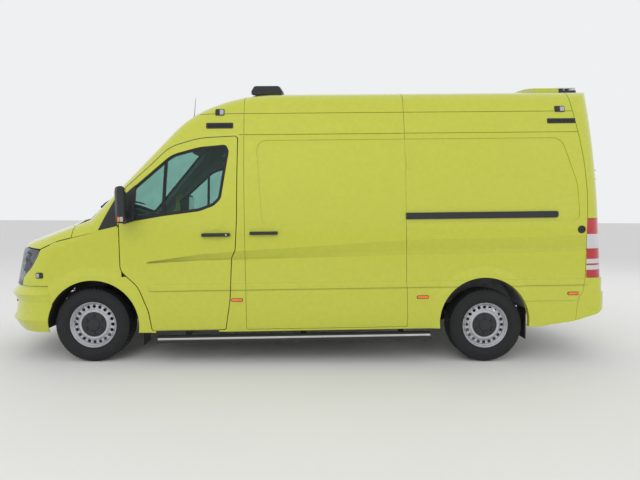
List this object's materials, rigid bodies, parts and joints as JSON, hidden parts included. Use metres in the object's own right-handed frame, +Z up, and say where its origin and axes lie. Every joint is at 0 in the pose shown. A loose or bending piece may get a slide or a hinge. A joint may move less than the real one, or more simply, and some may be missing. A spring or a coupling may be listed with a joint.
{
  "type": "ambulance van",
  "caption": "High-roof panel van fitted as an ambulance, with hinged cab doors, rear doors and bonnet, linked steering and rolling wheels.",
  "frame": {"origin": "on the ground under the middle of the vehicle", "axes": "+X forward, +Y to the left, +Z up"},
  "size_m": [5.9124, 2.4786, 2.7245],
  "materials": {
    "black_plastic": "grained black plastic",
    "body_yellow": "clear-coated yellow-green paint",
    "cast": "dark cast metal",
    "chassis_black": "black chassis paint",
    "dark_glass": "tinted glass",
    "fabric": "dark seat fabric",
    "floor_grey": "grey floor covering",
    "glass": "lightly tinted glass",
    "lamp_amber": "orange lamp cover",
    "lamp_clear": "clear lamp cover",
    "lamp_red": "red lamp cover",
    "steel": "bare steel",
    "trim_grey": "dark grey cabin plastic",
    "tyre": "black rubber",
    "wheel_silver": "silver paint on steel"
  },
  "bodies": {
    "van": {"arch_liners": "black_plastic", "body_side_left": "body_yellow", "body_side_right": "body_yellow", "bulkhead": "trim_grey", "cab_frame": "body_yellow", "cowl": "black_plastic", "dashboard": "trim_grey", "drive_shaft": "steel", "engine": "cast", "exhaust": "steel", "fenders": "body_yellow", "floor": "floor_grey", "front_bumper": "body_yellow", "front_subframe": "chassis_black", "fuel_tank": "chassis_black", "grille": "black_plastic", "headlamps": "lamp_clear", "leaf_springs": "chassis_black", "light_bar": "black_plastic", "rear_axle": "chassis_black", "rear_bumper": "body_yellow", "rear_wheelhouses": "floor_grey", "roof": "body_yellow", "roof_box": "body_yellow", "roof_box_lamp": "dark_glass", "seat_bases": "trim_grey", "seats": "fabric", "side_fittings": "black_plastic", "side_lamps": "lamp_amber", "side_steps": "black_plastic", "sliding_doors": "body_yellow", "tail_frame": "body_yellow", "tail_lamps": "lamp_red", "underframe": "chassis_black", "windscreen": "glass"},
    "door_left_body": {"door_left": "body_yellow", "door_glass_left": "glass", "door_trim_left": "black_plastic"},
    "rear_door_left_body": {"rear_door_left": "body_yellow", "rear_glass_left": "glass"},
    "knuckle_left_body": {"knuckle_left": "cast"},
    "wheel_front_left_body": {"wheel_front_left": "wheel_silver", "tyre_front_left": "tyre"},
    "wheel_rear_left_body": {"wheel_rear_left": "wheel_silver", "tyre_rear_left": "tyre"},
    "door_right_body": {"door_right": "body_yellow", "door_glass_right": "glass", "door_trim_right": "black_plastic"},
    "rear_door_right_body": {"rear_door_right": "body_yellow", "rear_glass_right": "glass"},
    "knuckle_right_body": {"knuckle_right": "cast"},
    "wheel_front_right_body": {"wheel_front_right": "wheel_silver", "tyre_front_right": "tyre"},
    "wheel_rear_right_body": {"wheel_rear_right": "wheel_silver", "tyre_rear_right": "tyre"},
    "bonnet_body": {"bonnet": "body_yellow"},
    "steering_wheel_body": {"steering_wheel": "trim_grey"}
  },
  "joints": [
    {"name": "steering", "type": "hinge", "parent": "van", "child": "steering_wheel_body", "pos_m": [1.30524, 0.47, 1.20163], "axis": [-0.804, 0, 0.5947], "range_deg": [-490, 490]},
    {"name": "steer_left", "type": "hinge", "parent": "van", "child": "knuckle_left_body", "pos_m": [1.951, 0.785, 0.216], "axis": [0, -0.2074, 0.9783], "range_deg": [-35, 35]},
    {"name": "roll_front_left", "type": "hinge", "parent": "knuckle_left_body", "child": "wheel_front_left_body", "pos_m": [1.951, 0.855, 0.346], "axis": [0, 1, 0], "continuous": true},
    {"name": "roll_rear_left", "type": "hinge", "parent": "van", "child": "wheel_rear_left_body", "pos_m": [-1.714, 0.855, 0.346], "axis": [0, 1, 0], "continuous": true},
    {"name": "open_door_left", "type": "hinge", "parent": "van", "child": "door_left_body", "pos_m": [1.65242, 0.9725, 1.04043], "axis": [-0.0178, 0, -0.9998], "range_deg": [0, 65]},
    {"name": "open_rear_left", "type": "hinge", "parent": "van", "child": "rear_door_left_body", "pos_m": [-2.82002, 0.792, 1.25808], "axis": [-0.0753, 0, -0.9972], "range_deg": [0, 180]},
    {"name": "steer_right", "type": "hinge", "parent": "van", "child": "knuckle_right_body", "pos_m": [1.951, -0.785, 0.216], "axis": [0, 0.2074, 0.9783], "range_deg": [-35, 35]},
    {"name": "roll_front_right", "type": "hinge", "parent": "knuckle_right_body", "child": "wheel_front_right_body", "pos_m": [1.951, -0.855, 0.346], "axis": [0, 1, 0], "continuous": true},
    {"name": "roll_rear_right", "type": "hinge", "parent": "van", "child": "wheel_rear_right_body", "pos_m": [-1.714, -0.855, 0.346], "axis": [0, 1, 0], "continuous": true},
    {"name": "open_door_right", "type": "hinge", "parent": "van", "child": "door_right_body", "pos_m": [1.65242, -0.9725, 1.04043], "axis": [0.0178, 0, 0.9998], "range_deg": [0, 65]},
    {"name": "open_rear_right", "type": "hinge", "parent": "van", "child": "rear_door_right_body", "pos_m": [-2.82002, -0.792, 1.25808], "axis": [0.0753, 0, 0.9972], "range_deg": [0, 180]},
    {"name": "open_bonnet", "type": "hinge", "parent": "van", "child": "bonnet_body", "pos_m": [2.10139, 0, 1.25947], "axis": [0, -1, 0], "range_deg": [0, 50]}
  ],
  "couplings": [
    {"joint": "steer_left", "follows": "steering", "ratio": 0.071429},
    {"joint": "steer_right", "follows": "steering", "ratio": 0.071429}
  ]
}
